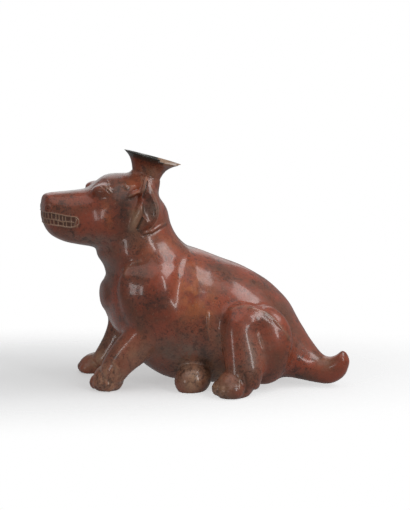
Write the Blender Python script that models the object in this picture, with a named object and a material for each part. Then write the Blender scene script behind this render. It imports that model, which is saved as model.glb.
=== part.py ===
"""A hollow fired-clay vessel in the shape of a seated dog with bared teeth, with a flared spout on its crown.

Metres, +Z up. The dog faces -X and its near side is -Y. It rests on its paws and its rump on z = 0,
and the origin is at the middle of its bounding box, on that plane. It is one piece of clay.
"""

import math
from typing import NamedTuple

import bmesh
import bpy
from mathutils import Matrix, Vector
from mathutils.bvhtree import BVHTree

# The clay
WALL = 0.006
SPOUT_WALL = 0.0035
CLAY_COLOUR = (0.22, 0.06, 0.035, 1.0)
CLAY_ROUGHNESS = 0.3

# How the straight body swings round towards the near side, as y = -bend * distance squared
FRONT_BEND = 0.50
FRONT_BEND_FROM = 0.02
REAR_BEND = 2.0
REAR_BEND_FROM = -0.015

# How fine the surfaces are
SIDES = 28
STEPS_BETWEEN_RINGS = 5
DOME_RINGS = 4
SOFT_VOXEL = 0.0028
SOFT_PASSES = 10
CRISP_VOXEL = 0.0017
CRISP_PASSES = 4
HOLLOW_VOXEL = 0.004
HOLLOW_PASSES = 8
OUTSIDE_TRIANGLES = 5200
INSIDE_TRIANGLES = 1000


class Ring(NamedTuple):
    """A cross-section of a form: two opposite edges in the side view, as (x, z), and the width between."""

    edge: tuple
    other_edge: tuple
    half_width: float
    y: float = 0.0
    square: float = 2.0


# Chest, belly, rump and tail: the line of the back, then the line of the belly
TORSO = [
    Ring((-0.1080, 0.120), (-0.1085, 0.085), 0.028),
    Ring((-0.1015, 0.131), (-0.1035, 0.072), 0.043),
    Ring((-0.0900, 0.141), (-0.0955, 0.057), 0.054),
    Ring((-0.0730, 0.152), (-0.0810, 0.037), 0.063),
    Ring((-0.047, 0.157), (-0.062, 0.018), 0.069),
    Ring((-0.015, 0.1580), (-0.035, 0.003), 0.0735),
    Ring((0.021, 0.1450), (0.000, -0.002), 0.074),
    Ring((0.053, 0.1320), (0.035, -0.004), 0.074),
    Ring((0.078, 0.1160), (0.064, -0.004), 0.070),
    Ring((0.096, 0.0965), (0.087, 0.000), 0.058),
    Ring((0.110, 0.073), (0.102, 0.006), 0.043),
    Ring((0.1235, 0.0525), (0.117, 0.0050), 0.030),
    Ring((0.136, 0.0370), (0.134, 0.0025), 0.020),
    Ring((0.1465, 0.0335), (0.1505, 0.0025), 0.0150),
    Ring((0.1555, 0.0380), (0.163, 0.0125), 0.012),
    Ring((0.1600, 0.0440), (0.1670, 0.024), 0.009),
]
CHEST_DOME = 0.006
TAIL_DOME = 0.003

# Neck: throat line, then nape line, from the shoulders up into the head
NECK = [
    Ring((-0.092, 0.088), (0.002, 0.096), 0.050),
    Ring((-0.103, 0.112), (0.008, 0.122), 0.0630),
    Ring((-0.1090, 0.135), (-0.0085, 0.152), 0.0570),
    Ring((-0.1170, 0.149), (-0.0235, 0.168), 0.052),
    Ring((-0.116, 0.162), (-0.0315, 0.184), 0.049),
    Ring((-0.110, 0.182), (-0.0360, 0.202), 0.046),
    Ring((-0.098, 0.205), (-0.0480, 0.2190), 0.040),
]
NECK_DOME = 0.006

# Head: the line of nose, brow and crown, then the line of chin and jaw
HEAD = [
    Ring((-0.1755, 0.2215), (-0.1775, 0.188), 0.0190, square=3.0),
    Ring((-0.169, 0.2225), (-0.171, 0.1755), 0.0235, square=2.8),
    Ring((-0.155, 0.2235), (-0.156, 0.1670), 0.027, square=2.5),
    Ring((-0.138, 0.2250), (-0.138, 0.1625), 0.031, square=2.4),
    Ring((-0.127, 0.2270), (-0.124, 0.1595), 0.036, square=2.3),
    Ring((-0.117, 0.2340), (-0.111, 0.155), 0.042, square=2.2),
    Ring((-0.105, 0.2415), (-0.098, 0.152), 0.046, square=2.2),
    Ring((-0.086, 0.2430), (-0.080, 0.149), 0.048, square=2.2),
    Ring((-0.067, 0.2400), (-0.059, 0.155), 0.046, square=2.1),
    Ring((-0.053, 0.2300), (-0.046, 0.170), 0.038),
]
NOSE_DOME = 0.0025
NAPE_DOME = 0.0065

# Forelegs: front line, then back line, from the shoulder down to the wrist
NEAR_FORELEG = [
    Ring((-0.082, 0.146), (-0.028, 0.146), 0.012, -0.042),
    Ring((-0.096, 0.134), (-0.022, 0.132), 0.018, -0.047),
    Ring((-0.100, 0.116), (-0.022, 0.112), 0.021, -0.049),
    Ring((-0.098, 0.098), (-0.028, 0.088), 0.021, -0.049),
    Ring((-0.0935, 0.084), (-0.036, 0.072), 0.020, -0.049),
    Ring((-0.0895, 0.0735), (-0.0440, 0.059), 0.018, -0.049),
    Ring((-0.0980, 0.0625), (-0.0530, 0.047), 0.0175, -0.048),
    Ring((-0.1090, 0.0495), (-0.068, 0.032), 0.0165, -0.047),
    Ring((-0.1185, 0.0350), (-0.0855, 0.020), 0.0155, -0.047),
    Ring((-0.1230, 0.0230), (-0.0980, 0.007), 0.0140, -0.047),
]
FAR_FORELEG = [
    Ring((-0.082, 0.146), (-0.032, 0.146), 0.012, 0.041),
    Ring((-0.095, 0.134), (-0.026, 0.132), 0.018, 0.046),
    Ring((-0.101, 0.114), (-0.026, 0.110), 0.021, 0.047),
    Ring((-0.1045, 0.084), (-0.034, 0.084), 0.021, 0.045),
    Ring((-0.0995, 0.066), (-0.048, 0.052), 0.019, 0.042),
    Ring((-0.1040, 0.048), (-0.062, 0.032), 0.017, 0.041),
    Ring((-0.1110, 0.033), (-0.078, 0.015), 0.016, 0.041),
    Ring((-0.1190, 0.020), (-0.092, 0.003), 0.014, 0.041),
]
LEG_DOME = 0.004

# Near hind leg, where it stands: front line, then back line, from the raised knee down to the heel
NEAR_SHANK = [
    Ring((0.0300, 0.097), (0.0560, 0.093), 0.012, -0.070),
    Ring((0.0235, 0.087), (0.0600, 0.080), 0.016, -0.075),
    Ring((0.0205, 0.071), (0.0610, 0.067), 0.017, -0.079),
    Ring((0.0215, 0.053), (0.0660, 0.049), 0.018, -0.083),
    Ring((0.0225, 0.038), (0.0680, 0.029), 0.018, -0.088),
    Ring((0.0240, 0.024), (0.0610, 0.007), 0.017, -0.092),
]

# The crest along the top of the near thigh, from the knee back to the rump
THIGH_CREST = [
    Ring((0.0270, 0.0930), (0.0370, 0.0810), 0.008, -0.071),
    Ring((0.0410, 0.1010), (0.0430, 0.0780), 0.011, -0.073),
    Ring((0.0590, 0.0980), (0.0520, 0.0720), 0.012, -0.074),
    Ring((0.0770, 0.0900), (0.0640, 0.0660), 0.012, -0.073),
    Ring((0.0900, 0.0790), (0.0760, 0.0600), 0.012, -0.070),
    Ring((0.0985, 0.0650), (0.0860, 0.0570), 0.011, -0.066),
    Ring((0.1035, 0.0520), (0.0920, 0.0470), 0.008, -0.060),
]
CREST_DOME = 0.005


class Blob(NamedTuple):
    """An ellipsoid: its centre, its three radii, and its turns in degrees."""

    centre: tuple
    radii: tuple
    yaw: float = 0.0
    pitch: float = 0.0


BROWS = [Blob((-0.111, side * 0.0265, 0.2255), (0.016, 0.0135, 0.0078)) for side in (-1, 1)]
NEAR_HAUNCH = Blob((0.070, -0.062, 0.051), (0.034, 0.027, 0.046), yaw=-14.0)
NEAR_THIGH = Blob((0.043, -0.071, 0.080), (0.026, 0.019, 0.019), yaw=-14.0)
FAR_HAUNCH = Blob((0.057, 0.050, 0.050), (0.043, 0.024, 0.045))
TUCKED_LEG = Blob((-0.004, -0.040, 0.018), (0.018, 0.034, 0.017), yaw=-20.0)


class Paw(NamedTuple):
    """A paw on the ground: the middle of its sole, its size, the way its toes point, and how many show."""

    middle: tuple
    half_length: float
    half_width: float
    height: float
    yaw: float
    toes: int


# A yaw of 0 points the toes along -X, and a positive one turns them towards the near side
PAWS = [
    Paw((-0.1060, -0.0470), 0.0190, 0.0170, 0.029, 42.0, 4),
    Paw((-0.121, 0.043), 0.0195, 0.0160, 0.023, 5.0, 4),
    Paw((0.035, -0.091), 0.0255, 0.0190, 0.031, 38.0, 4),
    Paw((-0.010, -0.060), 0.0235, 0.0195, 0.031, 42.0, 0),
]
PAD_HEIGHT = 1.2
PAD_RISE = 0.8
PAD_PITCH = -16.0
TOE_LENGTH = 0.44
TOE_WIDTH = 0.33
TOE_RISE = 0.30
TOE_REACH = 0.66
OUTER_TOE_SETBACK = 0.12
TOE_FAN_WIDTH = 0.9
TOE_FAN_DEGREES = 28.0

# Ears: leaves that stand up against the sides of the head: front edge, then back edge, from the base up
EAR = [
    Ring((-0.0875, 0.178), (-0.0660, 0.178), 0.0070, 0.040),
    Ring((-0.0860, 0.191), (-0.0545, 0.190), 0.0110, 0.0425),
    Ring((-0.0800, 0.205), (-0.0500, 0.203), 0.0125, 0.0435),
    Ring((-0.0735, 0.219), (-0.0545, 0.218), 0.0110, 0.0425),
    Ring((-0.0700, 0.231), (-0.0590, 0.231), 0.0075, 0.0410),
    Ring((-0.0665, 0.2405), (-0.0635, 0.2405), 0.0028, 0.0400),
]
EAR_DOME = 0.002
EAR_SCOOP = Blob((-0.0640, 0.0565, 0.2100), (0.0100, 0.0090, 0.0240), pitch=-10.0)
EAR_RIDGE = Blob((-0.0785, 0.0400, 0.2235), (0.0120, 0.0060, 0.0034), pitch=-22.0)

# Bared teeth: a lip that runs right round the mouth, and two rows of square teeth inside it
MOUTH_CENTRE = (-0.150, 0.0, 0.1922)
MOUTH_REACH = 96.0
MOUTH_CORNER = 8.0
MOUTH_HALF_HEIGHT = 0.0070
LIP_RADIUS = 0.0013
LIP_STEPS = 26
CORNER_STEPS = 4
LIP_SIDES = 4
TOOTH_WIDTH = 0.0040
TOOTH_HEIGHT = 0.0042
TOOTH_DEPTH = 0.0022
TOOTH_PITCH = 0.0056
TOOTH_ROWS = (-0.0031, 0.0031)
FIRST_TOOTH_SETBACK = 0.6
MOUTH_SAMPLES = 200
NOSTRIL = Blob((-0.1735, 0.0170, 0.2060), (0.0040, 0.0045, 0.0032))

# The root of the spout, which spreads softly into crown and nape
SPOUT_ROOT = [
    Ring((-0.0860, 0.2180), (-0.0430, 0.1990), 0.0300),
    Ring((-0.0820, 0.2350), (-0.0455, 0.2170), 0.0250),
    Ring((-0.0775, 0.2440), (-0.0430, 0.2310), 0.0185),
    Ring((-0.0755, 0.2490), (-0.0430, 0.2370), 0.0160),
]
ROOT_DOME = 0.001

# Nearly flat ends, inside the clay or open to the air
INNER_DOME = 0.002
FLAT_DOME = 0.0001
BORE_DOME = 0.012

# Spout: front line, then back line, from inside the crown up to the rim
SPOUT = [
    Ring((-0.0740, 0.2180), (-0.0500, 0.2120), 0.0130),
    Ring((-0.0755, 0.2380), (-0.0460, 0.2280), 0.0150),
    Ring((-0.0755, 0.2480), (-0.0430, 0.2365), 0.0165),
    Ring((-0.0770, 0.2580), (-0.0370, 0.2445), 0.0195),
    Ring((-0.0800, 0.2645), (-0.0285, 0.2490), 0.0255),
    Ring((-0.0845, 0.2700), (-0.0185, 0.2515), 0.0335),
]
SPOUT_STEPS = 2
RIM_HEIGHT_OVER_BORE = 0.004
RIM_SLOPE = 0.28

# The chip along the back of the rim, on the near side: the middle of its bed, its length, width and depth
CHIP_MIDDLE = (-0.0305, -0.0180, 0.2549)
CHIP_SIZE = (0.0320, 0.0420, 0.0044)


def swung(point):
    """The point of the straight body, carried round by the bend of the spine."""
    ahead = max(0.0, FRONT_BEND_FROM - point.x)
    behind = max(0.0, point.x - REAR_BEND_FROM)
    middle_y = -FRONT_BEND * ahead**2 - REAR_BEND * behind**2
    turn = math.atan(2 * FRONT_BEND * ahead - 2 * REAR_BEND * behind)
    return Vector((point.x - point.y * math.sin(turn), middle_y + point.y * math.cos(turn), point.z))


def in_place(point):
    return point


def catmull_rom(before, start, end, after, t):
    return 0.5 * (
        2 * start
        + (end - before) * t
        + (2 * before - 5 * start + 4 * end - after) * t**2
        + (3 * start - before - 3 * end + after) * t**3
    )


def flat(ring):
    return Vector((*ring.edge, *ring.other_edge, ring.half_width, ring.y, ring.square))


def smooth_rings(rings, steps):
    """The rings as vectors, with more rings between them on a smooth curve."""
    keys = [flat(ring) for ring in rings]
    keys = [2 * keys[0] - keys[1], *keys, 2 * keys[-1] - keys[-2]]
    made = []
    for i in range(1, len(keys) - 2):
        for step in range(steps):
            made.append(catmull_rom(*keys[i - 1 : i + 3], step / steps))
    return [*made, keys[-2]]


def dome(ring, outward, length):
    """Rings that close an end with a round dome of this length."""
    made = []
    for k in range(1, DOME_RINGS + 1):
        angle = math.pi / 2 * k / (DOME_RINGS + 0.35)
        scale = math.cos(angle)
        shift = outward * length * math.sin(angle)
        middle_x = (ring[0] + ring[2]) / 2
        middle_z = (ring[1] + ring[3]) / 2
        half_x = (ring[0] - ring[2]) / 2 * scale
        half_z = (ring[1] - ring[3]) / 2 * scale
        made.append(
            Vector((
                middle_x + half_x + shift.x,
                middle_z + half_z + shift.y,
                middle_x - half_x + shift.x,
                middle_z - half_z + shift.y,
                ring[4] * scale,
                ring[5],
                ring[6],
            ))
        )
    return made


def end_direction(ring, inner_ring):
    """The way out of an end ring, square to its plane in the side view."""
    across = Vector((ring[0] - ring[2], ring[1] - ring[3])).normalized()
    out = Vector((-across.y, across.x))
    run = Vector((ring[0] + ring[2] - inner_ring[0] - inner_ring[2],
                  ring[1] + ring[3] - inner_ring[1] - inner_ring[3]))
    return out if out.dot(run) > 0 else -out


def signed_power(value, power):
    return math.copysign(abs(value) ** power, value)


def ring_points(ring):
    middle = Vector(((ring[0] + ring[2]) / 2, (ring[1] + ring[3]) / 2))
    half = Vector(((ring[0] - ring[2]) / 2, (ring[1] - ring[3]) / 2))
    power = 2 / ring[6]
    for k in range(SIDES):
        angle = 2 * math.pi * k / SIDES
        along = signed_power(math.cos(angle), power)
        across = signed_power(math.sin(angle), power)
        yield Vector((middle.x + half.x * along, ring[5] + ring[4] * across, middle.y + half.y * along))


def add_loft(bm, rings, start_dome, end_dome, bend=swung, steps=STEPS_BETWEEN_RINGS):
    """Adds a closed form through the rings, with a dome at each end."""
    keys = smooth_rings(rings, steps)
    head = dome(keys[0], end_direction(keys[0], keys[1]), start_dome)
    tail = dome(keys[-1], end_direction(keys[-1], keys[-2]), end_dome)
    loops = [[bm.verts.new(bend(p)) for p in ring_points(key)] for key in [*reversed(head), *keys, *tail]]
    faces = [bm.faces.new(loops[0]), bm.faces.new(loops[-1])]
    for one, two in zip(loops, loops[1:]):
        for k in range(SIDES):
            following = (k + 1) % SIDES
            faces.append(bm.faces.new((one[k], two[k], two[following], one[following])))
    bmesh.ops.recalc_face_normals(bm, faces=faces)


def add_blob(bm, blob, bend=swung, subdivisions=4):
    """Adds an ellipsoid, turned and then carried round with the body."""
    matrix = (
        Matrix.Translation(blob.centre)
        @ Matrix.Rotation(math.radians(blob.yaw), 4, "Z")
        @ Matrix.Rotation(math.radians(blob.pitch), 4, "Y")
        @ Matrix.Diagonal((*blob.radii, 1.0))
    )
    made = bmesh.ops.create_icosphere(bm, subdivisions=subdivisions, radius=1.0, matrix=matrix)
    for vert in made["verts"]:
        vert.co = bend(vert.co)


def add_paw(bm, paw):
    """Adds the pad of a paw and a fan of toes at its front."""
    x, y = paw.middle
    half = paw.height / 2
    pad = (paw.half_length, paw.half_width, half * PAD_HEIGHT)
    add_blob(bm, Blob((x, y, half * PAD_RISE), pad, paw.yaw, PAD_PITCH), in_place)
    turn = Matrix.Rotation(math.radians(paw.yaw), 3, "Z")
    for k in range(paw.toes):
        across = (k - (paw.toes - 1) / 2) / paw.toes * 2
        reach = paw.half_length * (TOE_REACH - OUTER_TOE_SETBACK * across**2)
        local = Vector((-reach, across * paw.half_width * TOE_FAN_WIDTH, paw.height * TOE_RISE))
        place = turn @ local
        toe = Blob(
            (x + place.x, y + place.y, place.z),
            (paw.half_length * TOE_LENGTH, paw.half_width * TOE_WIDTH, paw.height * TOE_RISE),
            paw.yaw + TOE_FAN_DEGREES * across,
        )
        add_blob(bm, toe, in_place)


def on_side(rings, side):
    return [ring._replace(y=side * ring.y) for ring in rings]


def blob_on_side(blob, side):
    x, y, z = blob.centre
    return blob._replace(centre=(x, side * y, z))


def scoop_form(side):
    """The hollow of an ear, which opens outwards."""
    bm = bmesh.new()
    add_blob(bm, blob_on_side(EAR_SCOOP, side), subdivisions=3)
    return object_from(bm, "ear_scoop")


def object_from(bm, name):
    mesh = bpy.data.meshes.new(name)
    bm.to_mesh(mesh)
    bm.free()
    obj = bpy.data.objects.new(name, mesh)
    bpy.context.scene.collection.objects.link(obj)
    return obj


def bake(obj):
    """Gives the object the mesh that its modifiers make, and takes the modifiers off."""
    graph = bpy.context.evaluated_depsgraph_get()
    made = bpy.data.meshes.new_from_object(obj.evaluated_get(graph))
    obj.modifiers.clear()
    old = obj.data
    obj.data = made
    bpy.data.meshes.remove(old)


def fuse(obj, voxel, passes):
    """Makes one skin of overlapping forms, and softens the joins between them."""
    remesh = obj.modifiers.new("fuse", "REMESH")
    remesh.mode = "VOXEL"
    remesh.voxel_size = voxel
    smooth = obj.modifiers.new("soften", "SMOOTH")
    smooth.factor = 0.5
    smooth.iterations = passes
    bake(obj)


def skin_point(skin, turn, height):
    """The point of the muzzle at this height over the middle of the mouth, seen from inside at this angle."""
    x, y, z = MOUTH_CENTRE
    start = Vector((x, y, z + height))
    ahead = start + LIP_RADIUS * Vector((-math.cos(turn), math.sin(turn), 0))
    spot, _, _, _ = skin.ray_cast(swung(start), (swung(ahead) - swung(start)).normalized())
    return spot


def lip_route():
    """Turns and heights round the mouth: along the top and round a corner, then back the same way below."""
    reach = math.radians(MOUTH_REACH)
    top = [(reach * (2 * k / LIP_STEPS - 1), MOUTH_HALF_HEIGHT) for k in range(LIP_STEPS + 1)]
    angles = [math.pi * k / CORNER_STEPS for k in range(1, CORNER_STEPS)]
    bulge = math.radians(MOUTH_CORNER)
    corner = [(reach + bulge * math.sin(a), MOUTH_HALF_HEIGHT * math.cos(a)) for a in angles]
    return [*top, *corner, *((-turn, -height) for turn, height in (*top, *corner))]


def lip_form(skin):
    """A raised rim that runs right round the mouth."""
    bm = bmesh.new()
    route = [skin_point(skin, turn, height) for turn, height in lip_route()]
    middle = swung(Vector(MOUTH_CENTRE))
    loops = []
    for k, spot in enumerate(route):
        run = (route[(k + 1) % len(route)] - route[k - 1]).normalized()
        out = (spot - middle) * Vector((1, 1, 0))
        out = (out - run * out.dot(run)).normalized()
        across = run.cross(out)
        angles = [2 * math.pi * side / LIP_SIDES for side in range(LIP_SIDES)]
        turned = [out * math.cos(angle) + across * math.sin(angle) for angle in angles]
        loops.append([bm.verts.new(spot + LIP_RADIUS * way) for way in turned])
    for one, two in zip(loops, [*loops[1:], loops[0]]):
        for side in range(LIP_SIDES):
            following = (side + 1) % LIP_SIDES
            bm.faces.new((one[side], two[side], two[following], one[following]))
    bmesh.ops.recalc_face_normals(bm, faces=bm.faces)
    return object_from(bm, "lip")


def tooth_places(skin, height):
    """Where the teeth of a row stand: evenly along the skin, clear of the corners of the mouth."""
    reach = math.radians(MOUTH_REACH)
    turns = [reach * (2 * k / MOUTH_SAMPLES - 1) for k in range(MOUTH_SAMPLES + 1)]
    fine = [skin_point(skin, turn, height) for turn in turns]
    travelled = -FIRST_TOOTH_SETBACK * TOOTH_PITCH
    for before, spot in zip(fine, fine[1:]):
        travelled += (spot - before).length
        if travelled >= TOOTH_PITCH:
            travelled -= TOOTH_PITCH
            yield spot, (spot - before).normalized()


def teeth_form(skin):
    """Rows of square teeth, each set into the skin."""
    bm = bmesh.new()
    for height in TOOTH_ROWS:
        for spot, run in list(tooth_places(skin, height))[:-1]:
            out = run.cross(Vector((0, 0, 1))).normalized()
            upward = out.cross(run)
            edges = (run * TOOTH_WIDTH, upward * TOOTH_HEIGHT, out * TOOTH_DEPTH)
            sized = Matrix(edges).transposed().to_4x4()
            bmesh.ops.create_cube(bm, size=1.0, matrix=Matrix.Translation(spot) @ sized)
    bmesh.ops.recalc_face_normals(bm, faces=bm.faces)
    return object_from(bm, "teeth")


def add_mouth(dog):
    mesh = dog.data
    points = [vert.co for vert in mesh.vertices]
    skin = BVHTree.FromPolygons(points, [face.vertices for face in mesh.polygons])
    forms = (lip_form(skin), teeth_form(skin))
    for form in forms:
        boolean(dog, form, "UNION")


def nostril_form(side):
    bm = bmesh.new()
    add_blob(bm, blob_on_side(NOSTRIL, side), subdivisions=2)
    return object_from(bm, "nostril")


def thin_out(obj, triangles):
    count = sum(len(face.vertices) - 2 for face in obj.data.polygons)
    decimate = obj.modifiers.new("thin", "DECIMATE")
    decimate.ratio = triangles / count
    decimate.use_collapse_triangulate = True
    bake(obj)


def boolean(obj, other, operation):
    modifier = obj.modifiers.new(operation.lower(), "BOOLEAN")
    modifier.object = other
    modifier.operation = operation
    modifier.solver = "EXACT"
    bake(obj)
    bpy.data.objects.remove(other)


def soft_forms():
    """The large forms, whose joins flow into each other."""
    bm = bmesh.new()
    add_loft(bm, TORSO, CHEST_DOME, TAIL_DOME)
    add_loft(bm, NECK, NECK_DOME, NECK_DOME)
    add_loft(bm, HEAD, NOSE_DOME, NAPE_DOME)
    for leg in (NEAR_FORELEG, FAR_FORELEG):
        add_loft(bm, leg, LEG_DOME, LEG_DOME)
    add_loft(bm, NEAR_SHANK, LEG_DOME, LEG_DOME, in_place)
    add_loft(bm, THIGH_CREST, CREST_DOME, CREST_DOME, in_place)
    add_loft(bm, SPOUT_ROOT, ROOT_DOME, ROOT_DOME)
    for blob in (*BROWS, FAR_HAUNCH):
        add_blob(bm, blob)
    for blob in (NEAR_HAUNCH, NEAR_THIGH, TUCKED_LEG):
        add_blob(bm, blob, in_place)
    return object_from(bm, "dog_vessel")


def add_crisp_forms(obj):
    """The small forms, which keep their edges: paws, toes and ears."""
    bm = bmesh.new()
    bm.from_mesh(obj.data)
    for paw in PAWS:
        add_paw(bm, paw)
    for side in (-1, 1):
        add_loft(bm, on_side(EAR, side), EAR_DOME, EAR_DOME)
        add_blob(bm, blob_on_side(EAR_RIDGE, side))
    bm.to_mesh(obj.data)
    bm.free()


def cut_soles(obj):
    """Cuts everything flat at the plane that the dog rests on."""
    bm = bmesh.new()
    bm.from_mesh(obj.data)
    cut = bmesh.ops.bisect_plane(
        bm,
        geom=[*bm.verts, *bm.edges, *bm.faces],
        dist=1e-6,
        plane_co=(0, 0, 0),
        plane_no=(0, 0, -1),
        clear_outer=True,
    )
    edges = [item for item in cut["geom_cut"] if isinstance(item, bmesh.types.BMEdge)]
    bmesh.ops.holes_fill(bm, edges=edges)
    bmesh.ops.triangulate(bm, faces=bm.faces)
    bm.to_mesh(obj.data)
    bm.free()


def shrunk(ring, wall):
    """The ring moved in by the thickness of the wall."""
    edge = Vector(ring.edge)
    other = Vector(ring.other_edge)
    inward = (other - edge).normalized() * wall
    return ring._replace(
        edge=tuple(edge + inward),
        other_edge=tuple(other - inward),
        half_width=ring.half_width - wall,
    )


def hollow_form():
    """The space inside chest, belly, neck and head."""
    bm = bmesh.new()
    add_loft(bm, [shrunk(ring, WALL) for ring in TORSO[1:12]], INNER_DOME, INNER_DOME)
    add_loft(bm, [shrunk(ring, WALL) for ring in NECK[1:]], INNER_DOME, INNER_DOME)
    add_loft(bm, [shrunk(ring, WALL) for ring in HEAD[1:]], INNER_DOME, NAPE_DOME - WALL)
    obj = object_from(bm, "hollow")
    fuse(obj, HOLLOW_VOXEL, HOLLOW_PASSES)
    thin_out(obj, INSIDE_TRIANGLES)
    return obj


def spout_form():
    bm = bmesh.new()
    add_loft(bm, SPOUT, INNER_DOME, FLAT_DOME, steps=SPOUT_STEPS)
    return object_from(bm, "spout")


def bore_form():
    """The throat of the spout, from above its rim down into the hollow head."""
    rings = [shrunk(ring, SPOUT_WALL) for ring in SPOUT]
    top = rings[-1]
    up = RIM_HEIGHT_OVER_BORE
    over = top._replace(
        edge=(top.edge[0] + up * RIM_SLOPE, top.edge[1] + up),
        other_edge=(top.other_edge[0] + up * RIM_SLOPE, top.other_edge[1] + up),
    )
    bm = bmesh.new()
    add_loft(bm, [*rings, over], BORE_DOME, FLAT_DOME, steps=SPOUT_STEPS)
    return object_from(bm, "bore")


def chip_form():
    """What has broken off the rim."""
    bm = bmesh.new()
    matrix = (
        Matrix.Translation(swung(Vector(CHIP_MIDDLE)))
        @ Matrix.Rotation(math.atan(RIM_SLOPE), 4, "Y")
        @ Matrix.Diagonal((*CHIP_SIZE, 1.0))
    )
    bmesh.ops.create_cube(bm, size=1.0, matrix=matrix)
    return object_from(bm, "chip")


def clay_material():
    material = bpy.data.materials.new("burnished_red_clay")
    material.use_nodes = True
    shader = material.node_tree.nodes["Principled BSDF"]
    shader.inputs["Base Color"].default_value = CLAY_COLOUR
    shader.inputs["Roughness"].default_value = CLAY_ROUGHNESS
    shader.inputs["Metallic"].default_value = 0.0
    return material


def centre_on_origin(obj):
    """Stands the middle of the bounding box over the origin."""
    points = [vert.co for vert in obj.data.vertices]
    for axis in (0, 1):
        places = [point[axis] for point in points]
        obj.location[axis] = -(min(places) + max(places)) / 2


def main():
    for obj in list(bpy.data.objects):
        bpy.data.objects.remove(obj)
    dog = soft_forms()
    fuse(dog, SOFT_VOXEL, SOFT_PASSES)
    add_crisp_forms(dog)
    fuse(dog, CRISP_VOXEL, CRISP_PASSES)
    thin_out(dog, OUTSIDE_TRIANGLES)
    add_mouth(dog)
    boolean(dog, spout_form(), "UNION")
    boolean(dog, hollow_form(), "DIFFERENCE")
    boolean(dog, bore_form(), "DIFFERENCE")
    boolean(dog, chip_form(), "DIFFERENCE")
    for side in (-1, 1):
        boolean(dog, scoop_form(side), "DIFFERENCE")
        boolean(dog, nostril_form(side), "DIFFERENCE")
    cut_soles(dog)
    centre_on_origin(dog)
    dog.data.materials.clear()
    dog.data.materials.append(clay_material())
    dog.data.shade_smooth()


main()
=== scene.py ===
"""The looks of a burnished red clay vessel in the shape of a seated dog, with a flared spout on its crown.

Metres, +Z up. The dog faces -X and its near side is -Y. The forms are those of the solid, made finer, and then
the mouth, eyes, ears, creases and wear are carved into them. One mesh stands for the one piece of clay.
"""

import math
from typing import NamedTuple

import bmesh
import bpy
import numpy as np
from mathutils import Matrix, Vector, noise
from mathutils.bvhtree import BVHTree


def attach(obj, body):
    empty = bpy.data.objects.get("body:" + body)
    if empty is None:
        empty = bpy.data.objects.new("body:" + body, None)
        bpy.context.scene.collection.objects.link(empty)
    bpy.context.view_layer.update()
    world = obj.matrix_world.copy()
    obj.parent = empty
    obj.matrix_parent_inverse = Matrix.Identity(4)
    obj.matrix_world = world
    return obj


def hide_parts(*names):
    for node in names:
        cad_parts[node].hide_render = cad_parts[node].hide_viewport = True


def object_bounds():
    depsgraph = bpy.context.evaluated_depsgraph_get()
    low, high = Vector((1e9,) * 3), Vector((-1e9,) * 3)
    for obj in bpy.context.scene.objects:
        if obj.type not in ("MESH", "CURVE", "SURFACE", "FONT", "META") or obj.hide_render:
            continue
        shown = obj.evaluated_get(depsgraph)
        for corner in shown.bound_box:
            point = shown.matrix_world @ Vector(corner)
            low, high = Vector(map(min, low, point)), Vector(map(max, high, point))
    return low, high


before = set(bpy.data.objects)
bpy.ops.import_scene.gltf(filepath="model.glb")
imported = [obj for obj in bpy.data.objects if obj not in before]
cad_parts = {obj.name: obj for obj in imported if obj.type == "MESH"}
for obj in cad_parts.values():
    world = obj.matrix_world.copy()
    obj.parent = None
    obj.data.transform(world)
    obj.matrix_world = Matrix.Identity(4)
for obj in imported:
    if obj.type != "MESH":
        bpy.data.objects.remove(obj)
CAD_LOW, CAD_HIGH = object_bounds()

# The clay
WALL = 0.006
SPOUT_WALL = 0.0035

# How the straight body swings round towards the near side, as y = -bend * distance squared
FRONT_BEND = 0.50
FRONT_BEND_FROM = 0.02
REAR_BEND = 2.0
REAR_BEND_FROM = -0.015

# How fine the surfaces are
SIDES = 72
STEPS_BETWEEN_RINGS = 10
DOME_RINGS = 8
SOFT_VOXEL = 0.0016
SOFT_PASSES = 34
CRISP_VOXEL = 0.0011
CRISP_PASSES = 10
HOLLOW_VOXEL = 0.003
HOLLOW_PASSES = 14
INSIDE_TRIANGLES = 6000
ALL_TRIANGLES = 185000


class Ring(NamedTuple):
    """A cross-section of a form: two opposite edges in the side view, as (x, z), and the width between."""

    edge: tuple
    other_edge: tuple
    half_width: float
    y: float = 0.0
    square: float = 2.0


# Chest, belly, rump and tail: the line of the back, then the line of the belly
TORSO = [
    Ring((-0.1080, 0.120), (-0.1085, 0.085), 0.028),
    Ring((-0.1015, 0.131), (-0.1035, 0.072), 0.043),
    Ring((-0.0900, 0.141), (-0.0955, 0.057), 0.054),
    Ring((-0.0730, 0.152), (-0.0810, 0.037), 0.063),
    Ring((-0.047, 0.157), (-0.062, 0.018), 0.069),
    Ring((-0.015, 0.1580), (-0.035, 0.003), 0.0735),
    Ring((0.021, 0.1450), (0.000, -0.002), 0.074),
    Ring((0.053, 0.1320), (0.035, -0.004), 0.074),
    Ring((0.078, 0.1160), (0.064, -0.004), 0.070),
    Ring((0.096, 0.0965), (0.087, 0.000), 0.058),
    Ring((0.110, 0.073), (0.102, 0.006), 0.043),
    Ring((0.1235, 0.0525), (0.117, 0.0050), 0.030),
    Ring((0.136, 0.0370), (0.134, 0.0025), 0.020),
    Ring((0.1465, 0.0335), (0.1505, 0.0025), 0.0150),
    Ring((0.1555, 0.0380), (0.163, 0.0125), 0.012),
    Ring((0.1600, 0.0440), (0.1670, 0.024), 0.009),
]
CHEST_DOME = 0.006
TAIL_DOME = 0.003

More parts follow.
